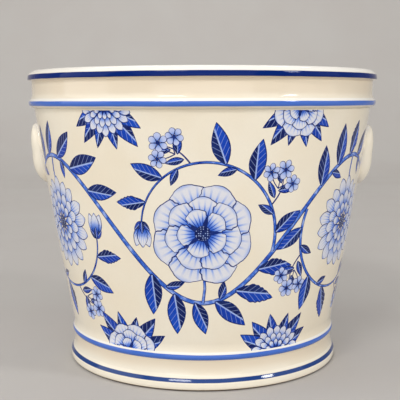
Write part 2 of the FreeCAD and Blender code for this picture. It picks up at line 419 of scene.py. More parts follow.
# Noises as scale and detail, then the stretch of values in use and, where it isn't 0 to 1, what it becomes
CLOUDS = (22.0, 3.0, 0.35, 0.7)
GRAIN_TONE = (900.0, 1.0, 0.2, 0.8, 0.985, 1.0)
GLOSS = (60.0, 2.0, 0.3, 0.7, 0.04, 0.08)
POOL_DEPTH = (26.0, 3.0, 0.3, 0.7, 0.75, 1.0)
INK_GRAIN = (2200.0, 1.0, 0.45, 0.75)
INK_DRIFT = (90.0, 2.0, 0.45, 0.7)
PAPER_FIBRES = (9.0, 4.0, 0.3, 0.7)
RIPPLE = (70.0, 1.0)
BAND_DRIFT = (45.0, 3.0)
POOL_DRIFT = (30.0, 2.0)
BISCUIT_GRAIN = (700.0, 3.0)
LINE_CLOUDS = (160.0, 2.0)
VINE_STREAKS = (260.0, 3.0)
NOISE_MIDDLE = 0.5

# Lengths in the glaze, in millimetres
BAND_EDGE = 0.15
BAND_WAVER = 0.35
# The pool lengths also shape the painted shade and painted light
POOL_FADE = 5.0
POOL_WAVER = 2.0
# The dry foot's band is also a painted contact shadow
DRY_FOOT_AND_CONTACT_SHADE_HEIGHT = 1.0
DRY_FOOT_AND_CONTACT_SHADE_WAVER = 0.3


def make_glaze_body():
    """Cream earthenware under a clear glaze: cloudy colour, soft unevenness and a faint ripple."""
    group, _, made = new_group(
        "glaze_body",
        {},
        {"Cream": "NodeSocketColor", "Roughness": "NodeSocketFloat", "Relief": "NodeSocketFloat"},
    )
    cream = mixed(group, noise(group, *CLOUDS), CREAM, CREAM_WARM)
    cream = mixed(group, 1.0, cream, noise(group, *GRAIN_TONE), blend="MULTIPLY")
    gloss = noise(group, *GLOSS)
    set_inputs(group, made, {"Cream": cream, "Roughness": gloss, "Relief": noise(group, *RIPPLE)})
    return group


def make_painted_band():
    """A mask for a band painted round the turning pot, with a slightly wavering edge."""
    group, given, made = new_group(
        "painted_band",
        {"Height": 0.0, "Half Width": 0.001, "Waver": 0.0001, "Inner Radius": 0.0},
        {"Mask": "NodeSocketFloat"},
    )
    place = object_place(group)
    drift = maths(group, "SUBTRACT", noise(group, *BAND_DRIFT), NOISE_MIDDLE)
    drift = maths(group, "MULTIPLY", drift, given["Waver"])
    above = maths(group, "SUBTRACT", split_axes(group, place)["Z"], given["Height"])
    away = maths(group, "ABSOLUTE", maths(group, "ADD", above, drift))
    edge = maths(group, "SUBTRACT", away, given["Half Width"])
    band = smooth_range(group, edge, -BAND_EDGE * MM, BAND_EDGE * MM, 1.0, 0.0)
    outside = beyond_radius(group, place, given["Inner Radius"])
    set_inputs(group, made, {"Mask": maths(group, "MULTIPLY", band, outside)})
    return group


def make_pool_and_painted_light():
    """A mask between two heights, fading in from the lower one, for glaze that lies thicker or thinner and
    for painted shade and painted light.
    """
    group, given, made = new_group(
        "pool_and_painted_light", {"Low": 0.0, "High": 1.0, "Inner Radius": 0.0}, {"Mask": "NodeSocketFloat"}
    )
    place = object_place(group)
    drift = maths(group, "SUBTRACT", noise(group, *POOL_DRIFT), NOISE_MIDDLE)
    height = maths(group, "MULTIPLY_ADD", drift, POOL_WAVER * MM, split_axes(group, place)["Z"])
    full = maths(group, "ADD", given["Low"], POOL_FADE * MM)
    filled = smooth_range(group, height, given["Low"], full)
    empty = maths(group, "GREATER_THAN", height, given["High"])
    pooled_and_painted_light = maths(group, "SUBTRACT", filled, empty, clamp=True)
    pooled_and_painted_light = maths(group, "MULTIPLY", pooled_and_painted_light, noise(group, *POOL_DEPTH))
    outside = beyond_radius(group, place, given["Inner Radius"])
    set_inputs(group, made, {"Mask": maths(group, "MULTIPLY", pooled_and_painted_light, outside)})
    return group


GLAZE_BODY = make_glaze_body()
PAINTED_BAND = make_painted_band()
POOL_AND_PAINTED_LIGHT = make_pool_and_painted_light()


def glaze_material(name, sheen):
    """A material with the glaze's gloss; the caller feeds its Base Color."""
    material, tree, shader = new_material(name)
    body = place_group(tree, GLAZE_BODY)
    ripple = {"Strength": 0.25, "Distance": 0.15 * MM, "Height": body["Relief"]}
    normal = add_node(tree, "Bump", ripple)["Normal"]
    set_inputs(tree, shader, {"Roughness": body["Roughness"], "Normal": normal})
    set_inputs(tree, shader, {"IOR": GLAZE_IOR, "Specular IOR Level": sheen})
    return material, tree, shader, body["Cream"]


def banded_glaze(name, bands=(), pools_and_painted_light=(), inner_radius=0.0, sheen=GLAZE_SHEEN):
    """Cream glaze, tinted between pairs of heights for pooled glaze and painted light and shade, with bands
    of a height, width and colour painted on.

    A pool gives its own inner limit, and bands stay outside the inner radius.
    """
    material, tree, shader, colour = glaze_material(name, sheen)
    for low, high, tint, inside in pools_and_painted_light:
        mask = place_group(tree, POOL_AND_PAINTED_LIGHT, Low=low * MM, High=high * MM, Inner_Radius=inside * MM)["Mask"]
        colour = mixed(tree, mask, colour, tint)
    for height, width, paint in bands:
        mask = place_group(
            tree, PAINTED_BAND, Height=height * MM, Half_Width=width / 2 * MM,
            Waver=BAND_WAVER * MM, Inner_Radius=inner_radius * MM,
        )["Mask"]
        colour = mixed(tree, mask, colour, paint)
    set_inputs(tree, shader, {"Base Color": colour})
    return material


def dry_foot_and_contact_shade_glaze(name, bands, pools_and_painted_light, inner_radius):
    """Banded glaze that stops short of the table: the foot's contact ring is wiped down to the biscuit,
    darkened as a painted contact shadow.
    """
    material = banded_glaze(name, bands, pools_and_painted_light, inner_radius)
    tree = material.node_tree
    shader = tree.nodes["Principled BSDF"]
    dry_and_contact_shade = place_group(
        tree, PAINTED_BAND, Height=0.0, Half_Width=DRY_FOOT_AND_CONTACT_SHADE_HEIGHT * MM, Waver=DRY_FOOT_AND_CONTACT_SHADE_WAVER * MM
    )["Mask"]
    glazed = shader.inputs["Base Color"].links[0].from_socket
    gloss = shader.inputs["Roughness"].links[0].from_socket
    biscuit_and_contact_shade = mixed(tree, noise(tree, *BISCUIT_GRAIN), CONTACT_SHADE_BISCUIT, CONTACT_SHADE_BISCUIT_DARK)
    rough = maths(tree, "MULTIPLY_ADD", dry_and_contact_shade, BISCUIT_ROUGHNESS, gloss)
    set_inputs(tree, shader, {"Base Color": mixed(tree, dry_and_contact_shade, glazed, biscuit_and_contact_shade), "Roughness": rough})
    return material


# Bands are a height, a width and a paint, and the whiter cream ones are painted highlights; pools, which
# carry painted shade and painted light, are two heights, a tint and the radius where they start
RIM_BAND_HEIGHT = 163.95
RIM_BAND_WIDTH = 2.8
COLLAR_PAINT_RADIUS = 96.5
# The whiter cream band on the bead top is a painted highlight
COLLAR_BANDS = [(BEAD_TOP, 1.5, THIN_GLAZE_AND_PAINTED_HIGHLIGHT_CREAM), (RIM_BAND_HEIGHT, RIM_BAND_WIDTH, NAVY), (149.5, 2.6, BAND_BLUE)]
# Under the lip: pooled glaze and painted shade; on the lip crest: thin glaze and painted highlight
COLLAR_POOLS_AND_PAINTED_LIGHT = [(151.2, 163.0, POOLED_AND_PAINTED_SHADE_CREAM, COLLAR_PAINT_RADIUS), (162.0, 170.0, THIN_GLAZE_AND_PAINTED_HIGHLIGHT_CREAM, 0.0)]
COLLAR_PAINT = (COLLAR_BANDS, COLLAR_POOLS_AND_PAINTED_LIGHT, COLLAR_PAINT_RADIUS)
WALL_PAINT_RADIUS = 75.0
# The whiter cream band above the ledge is a painted highlight
WALL_BANDS = [(20.0, 1.4, THIN_GLAZE_AND_PAINTED_HIGHLIGHT_CREAM), (17.85, 3.1, BAND_BLUE)]
FOOT_PAINT_RADIUS = 74.0
FOOT_BANDS = [(5.8, 2.0, FOOT_LINE_BLUE)]
# Under the ledge: pooled glaze and painted shade; on the foot bead: painted light
FOOT_POOLS_AND_PAINTED_LIGHT = [(8.5, 17.5, POOLED_AND_PAINTED_SHADE_CREAM, FOOT_PAINT_RADIUS), (-POOL_FADE, 8.5, PAINTED_LIGHT_CREAM, FOOT_PAINT_RADIUS)]

cream_glaze = banded_glaze("cream_glaze")
collar_glaze = banded_glaze("collar_glaze", *COLLAR_PAINT)
rim_band_glaze = banded_glaze("rim_band_glaze", *COLLAR_PAINT, RIM_BAND_SHEEN)
wall_glaze = banded_glaze("wall_glaze", WALL_BANDS, inner_radius=WALL_PAINT_RADIUS)
# The wiped contact ring of the foot is darkened as a painted contact shadow
foot_glaze = dry_foot_and_contact_shade_glaze("foot_glaze", FOOT_BANDS, FOOT_POOLS_AND_PAINTED_LIGHT, FOOT_PAINT_RADIUS)
# The lug's whole glaze is painted lighter: painted light
lug_glaze = banded_glaze("lug_glaze", pools_and_painted_light=[(0.0, POT_TOP, PAINTED_LIGHT_CREAM, 0.0)])


# The inks of the print, under the same glaze
INK_NAVY = linear(0, 18, 78)
INK_LINE_LIGHT = linear(8, 44, 132)
INK_COBALT = linear(0, 52, 164)
INK_MID = linear(68, 117, 216)
INK_PALE = linear(162, 183, 234)
INK_WHITE = linear(226, 226, 232)
BLOSSOM_PALE = linear(196, 205, 238)
LEAF_DARK = linear(0, 22, 92)
LEAF_LIGHT = linear(18, 80, 200)
INK_THINNING = 0.07

# Shades drawn on a motif, as smooth_range takes them, and how its veins run
PETAL_BASE = (0.08, 0.72, 0.85, 0.0)
PETAL_RIM = (0.84, 1.02, 0.0, 0.32)
PETAL_VEIN = (0.25, 0.95)
PETAL_VEIN_FADE = (0.3, 0.95, 0.5, 0.0)
PETAL_VEIN_COUNT = 16.0
PETAL_VEIN_SHIFT = 6.0
PETAL_VEIN_ROOT = 0.3
LEAF_HALVES = (-0.06, 0.06)
LEAF_MIDRIB = (0.05, 0.1, 1.0, 0.0)
LEAF_VEIN = (0.02, 0.16, 0.65, 0.0)
LEAF_VEIN_COUNT = 13.0
LEAF_VEIN_SLANT = -0.24
BLOSSOM_BASE = (0.1, 0.75, 0.8, 0.0)
SEED_EDGE = (0.22, 0.34, 1.0, 0.0)


def motif_axes(tree):
    """How far along and across its own shape a point of the print lies."""
    axes = split_axes(tree, add_node(tree, "UVMap", uv_map="motif")["UV"])
    return axes["X"], axes["Y"]


def shape_tone(tree):
    return add_node(tree, "Attribute", attribute_name="tone")["Fac"]


def make_ink_film():
    """How evenly the ink took: a fine transfer grain over slow thin places."""
    group, _, made = new_group("ink_film", {}, {"Thin": "NodeSocketFloat"})
    drift = maths(group, "MULTIPLY", noise(group, *INK_DRIFT), INK_THINNING)
    thin = maths(group, "MULTIPLY_ADD", noise(group, *INK_GRAIN), INK_THINNING, drift)
    set_inputs(group, made, {"Thin": thin})
    return group


INK_FILM = make_ink_film()


def inked_material(name, paint):
    """A glaze material whose colour an ink function draws, thinned a little by the ink film."""
    material, tree, shader, _ = glaze_material(name, INK_SHEEN)
    thin = place_group(tree, INK_FILM)["Thin"]
    set_inputs(tree, shader, {"Base Color": mixed(tree, thin, paint(tree), INK_MID)})
    return material


def line_paint(tree):
    return mixed(tree, noise(tree, *LINE_CLOUDS), INK_NAVY, INK_LINE_LIGHT)


def petal_paint(tree):
    """Dark at the base and the rim, pale between, with veins that fan out from the base."""
    along, across = motif_axes(tree)
    at_base = smooth_range(tree, along, *PETAL_BASE)
    at_rim = smooth_range(tree, along, *PETAL_RIM)
    fan = maths(tree, "DIVIDE", across, maths(tree, "ADD", along, PETAL_VEIN_ROOT))
    shift = maths(tree, "MULTIPLY", shape_tone(tree), PETAL_VEIN_SHIFT)
    phase = maths(tree, "MULTIPLY_ADD", fan, PETAL_VEIN_COUNT, shift)
    vein = smooth_range(tree, maths(tree, "SINE", phase), *PETAL_VEIN)
    fade = smooth_range(tree, along, *PETAL_VEIN_FADE)
    depth = maths(tree, "MULTIPLY_ADD", vein, fade, maths(tree, "ADD", at_base, at_rim))
    return ramp(tree, depth, [(0.0, INK_WHITE), (0.28, INK_PALE), (0.62, INK_MID), (1.0, INK_COBALT)])


def leaf_paint(tree):
    """One half of the leaf darker than the other, with pale veins."""
    along, across = motif_axes(tree)
    lightness = maths(tree, "MULTIPLY", along, shape_tone(tree))
    dark_half = mixed(tree, along, INK_NAVY, LEAF_DARK)
    light_half = mixed(tree, lightness, INK_COBALT, LEAF_LIGHT)
    colour = mixed(tree, smooth_range(tree, across, *LEAF_HALVES), dark_half, light_half)
    aside = maths(tree, "ABSOLUTE", across)
    midrib = smooth_range(tree, aside, *LEAF_MIDRIB)
    slant = maths(tree, "MULTIPLY_ADD", aside, LEAF_VEIN_SLANT, along)
    beat = maths(tree, "PINGPONG", maths(tree, "MULTIPLY", slant, LEAF_VEIN_COUNT), 1.0)
    side_vein = smooth_range(tree, beat, *LEAF_VEIN)
    return mixed(tree, maths(tree, "MAXIMUM", midrib, side_vein), colour, INK_PALE)


def vine_paint(tree):
    streak = noise(tree, *VINE_STREAKS)
    return ramp(tree, streak, [(0.3, INK_COBALT), (0.52, INK_MID), (0.68, INK_PALE)])


def blossom_paint(tree):
    depth = smooth_range(tree, motif_axes(tree)[0], *BLOSSOM_BASE)
    return ramp(tree, depth, [(0.0, BLOSSOM_PALE), (0.5, INK_PALE), (1.0, INK_MID)])


def heart_paint(tree):
    """Rows of pale seeds on a dark ground."""
    along, across = motif_axes(tree)
    spot = add_node(tree, "CombineXYZ", {"X": along, "Y": across})[0]
    away = add_node(tree, "TexVoronoi", {"Vector": spot, "Scale": 3.6, "Randomness": 0.35})["Distance"]
    return mixed(tree, smooth_range(tree, away, *SEED_EDGE), INK_NAVY, INK_PALE)


INK_PAINTS = {
    "line": line_paint,
    "petal": petal_paint,
    "leaf": leaf_paint,
    "vine": vine_paint,
    "blossom": blossom_paint,
    "heart": heart_paint,
}
INKS = ["bare", *INK_PAINTS]
PRINT_GLAZES = [wall_glaze] + [inked_material(f"{name}_ink", paint) for name, paint in INK_PAINTS.items()]


# The print: a flower scroll drawn flat on the unrolled wall, then wrapped round the pot
PLATE_RADIUS = 87.3
SEAM = pi * PLATE_RADIUS
PRINT_CLIP_LOW = 20.4
PRINT_CLIP_HIGH = 146.3
FLARE_ROW_STEP = 0.7
WALL_ROW_STEP = 2.5
PRINT_WELD = 0.002
TRIANGLES_TO_HULL = 0

# The hand that draws, and how it varies from one motif to the next
DRAWING_SEED = 5
HAND = random.Random(DRAWING_SEED)
PETAL_TURNS = (-0.03, 0.03)
PETAL_LENGTHS = (0.95, 1.05)
PETAL_WIDTHS = (0.94, 1.06)
LEAF_LENGTHS = (0.92, 1.08)
BORDER_LEAF_LENGTHS = (0.93, 1.07)
TOOTHED_SHARE = 0.45
PEN_PRESSURE = 0.35

# The forms of petals and leaves, as blade_outline takes them
RUFFLED = {"fullness": 1.5, "blunt": 0.62, "lobes": 2.5, "lobe_depth": 0.16, "points": 18}
SLIM = {"fullness": 1.55, "blunt": 0.7, "points": 11}
POINTED = {"fullness": 1.25, "blunt": 0.85, "points": 15}
SMALL = {"fullness": 1.5, "blunt": 0.6, "points": 8}
CLOSED = {"fullness": 0.9, "blunt": 0.8, "points": 12}
CALYX = {"fullness": 0.7, "points": 8}
PLAIN_LEAF = {"fullness": 0.85, "blunt": 0.9, "points": 14}
TOOTHED_LEAF = {"fullness": 0.85, "blunt": 0.9, "lobes": 5, "lobe_depth": 0.22, "points": 26}
LOBES_START = 0.35

# Rings of petals: count, distance from the middle, length, width, pen, first turn, and the dark disc beneath
PEONY_RINGS = [(8, 8, 19, 19, 0.55, 0.5, 0), (7, 5, 15, 15, 0.5, 0.0, 11), (5, 2, 11.5, 11.5, 0.45, 0.3, 7)]
CHRYSANTHEMUM_RINGS = [
    (18, 9, 16, 8.0, 0.45, 0.0, 0), (15, 6, 12, 6.4, 0.42, 0.5, 0), (11, 3, 8.5, 5.0, 0.4, 0.0, 0)
]

# The scroll swings round the pot, with a flower in each bend and a branch that curls over it
SCROLL_MIDDLE = 85.0
SCROLL_SWING = 37.0
FLOWER_COUNT = 6
BEND = FULL_TURN / FLOWER_COUNT
WREATH_RADIUS = 38.0
WREATH_CLOSING = 6.0
WREATH_START = radians(-16)
WREATH_SWEEP = radians(186)
SPRIG_LEAN = 0.9
SPRIG_SLANT = 9
BUD_LEAN = 0.15
LEAF_BEND = 2.0
INNER_LEAF_BEND = -1.0
BORDER_OVERHANG = 2


def turned(point, angle):
    return Vector((
        point[0] * cos(angle) - point[1] * sin(angle),
        point[0] * sin(angle) + point[1] * cos(angle),
    ))


class Placing:
    """Where a shape is drawn on the wall: an angle round the pot, a height, and its own turn."""

    def __init__(self, shapes, around, height, turn=0.0):
        self.shapes = shapes
        self.around = around
        self.height = height
        self.turn = turn

    def to_plate(self, point):
        shift = turned(point, self.turn)
        height = self.height + shift.y
        return Vector(((self.around + shift.x / wall_radius(height)) * PLATE_RADIUS, height))

    def from_plate(self, spot):
        across = (spot.x / PLATE_RADIUS - self.around) * wall_radius(spot.y)
        return turned((across, spot.y - self.height), -self.turn)

    def moved(self, offset, turn=0.0):
        shift = turned(offset, self.turn)
        height = self.height + shift.y
        around = self.around + shift.x / wall_radius(height)
        return Placing(self.shapes, around, height, self.turn + turn)

    def fill(self, outline, ink, **scale_and_tone):
        self.shapes.append(Shape(self, outline, ink, **scale_and_tone))


class Shape:
    """One inked area of the print: its outline on the plate, and its own lengthwise and crosswise scale."""

    def __init__(self, placing, outline, ink, length=1.0, half_width=1.0, tone=0.5):
        self.placing = placing
        self.outline = [placing.to_plate(point) for point in outline]
        self.ink = INKS.index(ink)
        self.length = length
        self.half_width = half_width
        self.tone = tone

    def motif_place(self, spot):
        own = self.placing.from_plate(spot)
        return own.y / self.length, own.x / self.half_width


def inset(outline, width):
    """Draw an outline in by a pen's width, a little heavier on its lower right."""
    drawn = []
    for index, point in enumerate(outline):
        ahead = Vector(outline[(index + 1) % len(outline)])
        along = ahead - Vector(outline[index - 1])
        inward = -right_of(along)
        press = 1.0 + PEN_PRESSURE * (inward.y - inward.x) / sqrt(2)
        drawn.append(Vector(point) + inward * width * press)
    return drawn


def inked(placing, outline, ink, pen, **scale_and_tone):
    """A filled shape with a drawn line round it."""
    placing.fill(outline, "line")
    placing.fill(inset(outline, pen), ink, **scale_and_tone)


def blade_outline(length, width, fullness=1.0, blunt=0.75, bend=0.0, lobes=0, lobe_depth=0.0, points=13):
    """A petal or leaf outline from its base, up its right side and down its left.

    Fullness moves the widest place towards the tip, blunt rounds the ends, bend curves the blade, and
    lobes scallop the edge.
    """
    right = []
    for step in range(1, points):
        share = 0.5 - 0.5 * cos(pi * step / points)
        half = width / 2 * sin(pi * share ** fullness) ** blunt
        if lobes:
            lobe = pi * lobes * (share - LOBES_START) / (1 - LOBES_START)
            wave = abs(sin(lobe)) if share > LOBES_START else 0.0
            half *= 1 + lobe_depth * (wave - 0.5)
        right.append((half, length * share))
    outline = [(0.0, 0.0)] + right + [(0.0, length)] + [(-x, y) for x, y in reversed(right)]
    return [(x + bend * (y / length) ** 2, y) for x, y in outline]


def blade(placing, length, width, ink, tone, pen, **form):
    outline = blade_outline(length, width, **form)
    inked(placing, outline, ink, pen, length=length, half_width=width / 2, tone=tone)


def ribbon(placing, path, widths, ink="line", pen=0.0):
    """A stroke along a path, with its width going from the first value to the last."""
    left, right = [], []
    count = len(path) - 1
    for index, point in enumerate(path):
        along = Vector(path[min(count, index + 1)]) - Vector(path[max(0, index - 1)])
        side = right_of(along)
        half = (widths[0] + (widths[1] - widths[0]) * (index / count)) / 2
        right.append(Vector(point) + side * half)
        left.append(Vector(point) - side * half)
    outline = right + left[::-1]
    if pen:
        inked(placing, outline, ink, pen)
    else:
        placing.fill(outline, ink)


def disc_outline(radius, points=20):
    angles = [FULL_TURN * step / points for step in range(points)]
    return [(radius * cos(angle), radius * sin(angle)) for angle in angles]


def petal_ring(placing, count, base, length, width, ink, pen, first, form):
    """Petals set evenly round a flower, each drawn a little differently."""
    for step in range(count):
        turn = FULL_TURN * (step + first) / count + HAND.uniform(*PETAL_TURNS)
        long = length * HAND.uniform(*PETAL_LENGTHS)
        own = placing.moved(turned((0.0, base), turn), turn)
        outline = blade_outline(long, width * HAND.uniform(*PETAL_WIDTHS), **form)
        inked(own, outline, ink, pen, length=long, half_width=width / 2, tone=HAND.random())


def ringed_flower(placing, size, rings, form, heart):
    """A flower seen from the front: rings of petals from the outermost in, and a heart of seeds."""
    for count, base, length, width, pen, first, disc in rings:
        if disc:
            placing.fill(disc_outline(disc * size), "line")
        sizes = (base * size, length * size, width * size)
        petal_ring(placing, count, *sizes, "petal", pen, first, form)
    radius = heart * size
    seeds = {"length": radius, "half_width": radius, "tone": HAND.random()}
    inked(placing, disc_outline(radius), "heart", pen=0.45, **seeds)


def peony(placing, size=1.0):
    ringed_flower(placing, size, PEONY_RINGS, RUFFLED, heart=4.2)


def chrysanthemum(placing, size=1.0):
    ringed_flower(placing, size, CHRYSANTHEMUM_RINGS, SLIM, heart=4.0)


def lotus(placing):
    """A lotus seen from the side, its pointed petals fanned out in pairs from the back to the front."""
    base = (0.0, -14)
    pen = 0.5
    for lean, length, width in (
        (1.42, 21, 10), (1.05, 25, 12), (0.62, 27, 13), (0.24, 28, 13),
        (1.25, 17, 9.5), (0.8, 20, 11), (0.36, 21, 12),
    ):
        for side in (-1, 1):
            own = placing.moved(base, side * lean)
            blade(own, length, width, "petal", HAND.random(), pen, bend=side * -2.0, **POINTED)
    blade(placing.moved(base), length=18, width=12, ink="petal", tone=HAND.random(), pen=pen, **POINTED)


def leaf(placing, length, bend=0.0, slimness=0.44, toothed=False):
    form = TOOTHED_LEAF if toothed else PLAIN_LEAF
    blade(placing, length, length * slimness, "leaf", HAND.random(), pen=0.48, bend=bend, **form)


def scroll_leaf(placing, length, bend, outside):
    """A leaf of the scroll, a little longer or shorter than asked; some outside a bend are toothed."""
    length *= HAND.uniform(*LEAF_LENGTHS)
    toothed = outside and HAND.random() < TOOTHED_SHARE
    leaf(placing, length, bend, toothed=toothed)


def blossom(placing, radius):
    """A small blossom of six petals with a dark eye."""
    width = radius * 0.82
    eye = radius * 0.24
    petal_ring(
        placing, count=6, base=0.5, length=radius, width=width, ink="blossom",
        pen=0.3, first=HAND.random(), form=SMALL,
    )
    placing.fill(disc_outline(eye, points=10), "line")


def stem_path(start, finish, sag, points=12):
    """A gently curved path that bows to its right between two points."""
    start, finish = Vector(start), Vector(finish)
    along = finish - start
    side = right_of(along)
    return [
        start + along * share + side * sag * sin(pi * share)
        for share in (step / points for step in range(points + 1))
    ]


def bud(placing, size=1.15):
    """A closed bud in its calyx."""
    for lean in (-0.32, 0.32, 0.0):
        own = placing.moved((0, 1.5 * size), lean)
        blade(own, 10.5 * size, 5.4 * size, "petal", HAND.random(), pen=0.36, **CLOSED)
    for lean in (-0.75, 0.75, 0.0):
        own = placing.moved((0, 0), lean)
        blade(own, 5.5 * size, 2.8 * size, "leaf", tone=0.2, pen=0.3, **CALYX)


def sprig(placing):
    """A side shoot with slim leaves and three blossoms."""
    ribbon(placing, stem_path((0, 0), (-3, 17), sag=2.0), widths=(0.9, 0.5))
    for up, lean, length in ((4, 0.95, 10), (8, -0.9, 10.5), (12, 0.85, 9)):
        leaf(placing.moved((-up / SPRIG_SLANT, up), lean), length, slimness=0.4)
    fork = (-1.5, 9)
    for x, y, radius in ((-3.2, 19, 4.6), (4.6, 15, 4.2), (-9.5, 14, 4.2)):
        ribbon(placing, stem_path(fork, (x, y), sag=-0.8, points=6), widths=(0.6, 0.45))
        blossom(placing.moved((x, y)), radius)


def vine_height(around):
    return SCROLL_MIDDLE - SCROLL_SWING * cos(FLOWER_COUNT / 2 * around)


def vine_direction(around):
    """The turn that points a shape's own length along the vine."""
    slope = SCROLL_SWING * FLOWER_COUNT / 2 * sin(FLOWER_COUNT / 2 * around)
    return atan2(slope, wall_radius(vine_height(around))) - pi / 2


def scroll_vine(shapes):
    steps = 30 * FLOWER_COUNT
    path = []
    for step in range(steps + 1):
        around = FULL_TURN * (step / steps - 0.5)
        height = vine_height(around)
        path.append((around * wall_radius(height), height))
    ribbon(Placing(shapes, 0.0, 0.0), path, widths=(2.5, 2.5), ink="vine", pen=0.42)


def vine_leaves(shapes, bend):
    """Leaves along the vine in one bend: the larger ones are outside it, with a side of 1."""
    outward = -1 if bend % 2 == 0 else 1
    for share, side, length, lean in (
        (-0.30, 1, 22, 0.70), (-0.17, 1, 21, 0.85), (-0.05, 1, 20, 0.95), (0.07, 1, 21, 0.9),
        (0.19, 1, 22, 0.8), (0.32, 1, 20, 0.7), (-0.22, -1, 11, 0.8), (0.10, -1, 10, 0.8),
    ):
        around = BEND * (bend + share)
        spot = Placing(shapes, around, vine_height(around), vine_direction(around))
        turn = outward * side
        scroll_leaf(spot.moved((0, 0), turn * lean), length, turn * -LEAF_BEND, side > 0)


def wreath_point(share):
    angle = WREATH_START + WREATH_SWEEP * share
    radius = WREATH_RADIUS - WREATH_CLOSING * share ** 2
    return Vector((radius * cos(angle), radius * sin(angle))), angle


def wreath(centre):
    """A branch that leaves the vine and curls over the flower, with leaves, sprigs and a bud at its end."""
    for share in (0.20, 0.62):
        point, angle = wreath_point(share)
        sprig(centre.moved(point, angle - SPRIG_LEAN))
    steps = 36
    path = [wreath_point(step / steps)[0] for step in range(steps + 1)]
    ribbon(centre, path, widths=(2.0, 1.0), ink="vine", pen=0.36)
    for share, side, length, lean in (
        (0.08, 1, 18, 0.8), (0.33, 1, 20, 0.85), (0.47, 1, 21, 0.9), (0.76, 1, 19, 0.9), (0.9, 1, 16, 0.9),
        (0.16, -1, 10, 0.7), (0.42, -1, 10, 0.7), (0.68, -1, 10, 0.7),
    ):
        point, angle = wreath_point(share)
        bend = LEAF_BEND if side > 0 else INNER_LEAF_BEND
        scroll_leaf(centre.moved(point, angle - side * lean), length, bend, side > 0)
    point, angle = wreath_point(1.0)
    bud(centre.moved(point, angle + BUD_LEAN))


def border_flower(placing, head):
    """A flower cut by the print's edge, with leaves fanned out behind it."""
    for lean, length in ((-1.2, 23), (-0.75, 25), (-0.32, 22), (0.28, 22), (0.78, 25), (1.18, 23)):
        length *= HAND.uniform(*BORDER_LEAF_LENGTHS)
        leaf(placing.moved((0, 0), lean), length, lean * LEAF_BEND, slimness=0.36)
    head(placing, size=0.6)


def flower_scroll():
    """Every shape of the print, from the back of the drawing to the front."""
    shapes = []
    heads = [peony, chrysanthemum, lotus, peony, lotus, chrysanthemum]
    border_heads = [peony, chrysanthemum]
    upper_edge = PRINT_CLIP_HIGH + BORDER_OVERHANG
    lower_edge = PRINT_CLIP_LOW - BORDER_OVERHANG
    stalk = [(0, -SCROLL_SWING), (1, -SCROLL_SWING + 8), (0, -12)]
    scroll_vine(shapes)
    for bend in range(FLOWER_COUNT):
        upright = bend % 2 == 0
        centre = Placing(shapes, BEND * bend, SCROLL_MIDDLE, 0.0 if upright else pi)
        vine_leaves(shapes, bend)
        wreath(centre)
        for edge, turn, head in ((upper_edge, pi, bend), (lower_edge, 0.0, bend + 1)):
            border = Placing(shapes, BEND * (bend + 0.5), edge, turn)
            border_flower(border, border_heads[head % 2])
        ribbon(centre, stalk, widths=(1.7, 1.3), ink="vine", pen=0.3)
        heads[bend](centre)
    return shapes


def clipped(outline, height, keep_below):
    """The part of an outline that lies on one side of a level line."""
    kept = []
    for index, point in enumerate(outline):
        before = outline[index - 1]
        inside = (point.y <= height) == keep_below
        if inside != ((before.y <= height) == keep_below):
            share = (height - before.y) / (point.y - before.y)
            kept.append(before.lerp(point, share))
        if inside:
            kept.append(point)
    return kept


def plate_outlines(shapes):
    """Each shape's outline cut to the print's limits, with a second copy where it crosses the back seam."""
    for shape in shapes:
        outline = clipped(clipped(shape.outline, PRINT_CLIP_HIGH, True), PRINT_CLIP_LOW, False)
        if len(outline) < 3:
            continue
        for wrap in (-1, 0, 1):
            shift = Vector((2 * SEAM * wrap, 0.0))
            copy = [point + shift for point in outline]
            if max(point.x for point in copy) > -SEAM and min(point.x for point in copy) < SEAM:
                yield shape, shift, copy


def wall_point(spot):
    around = spot.x / PLATE_RADIUS
    radius = wall_radius(spot.y)
    return Vector((radius * sin(around), -radius * cos(around), spot.y)) * MM


def covered(outline, spots):
    """Which of the spots an outline goes round, by how often it winds about each."""
    wound = np.zeros(len(spots), int)
    across, up = spots[:, 0], spots[:, 1]
    for start, finish in zip(outline, outline[1:] + outline[:1]):
        side = (finish.x - start.x) * (up - start.y) - (across - start.x) * (finish.y - start.y)
        wound += (start.y <= up) & (up < finish.y) & (side > 0)
        wound -= (finish.y <= up) & (up < start.y) & (side < 0)
    return wound > 0


def front_outlines(outlines, spots):
    """The number of the front-most outline over each spot, or -1 where the wall is bare."""
    front = np.full(len(spots), -1)
    for number, outline in enumerate(outlines):
        corners = np.array(outline)
        near = np.all((spots >= corners.min(0)) & (spots <= corners.max(0)), axis=1).nonzero()[0]
        front[near[covered(outline, spots[near])]] = number
    return front


def plate_rows():
    """The heights of the print's level rows, closer together in the flare."""
    rows = [PRINT_FOOT]
    while rows[-1] < PRINT_HEAD - WALL_ROW_STEP:
        rows.append(rows[-1] + (FLARE_ROW_STEP if rows[-1] < WALL_FOOT else WALL_ROW_STEP))
    return rows + [PRINT_HEAD]


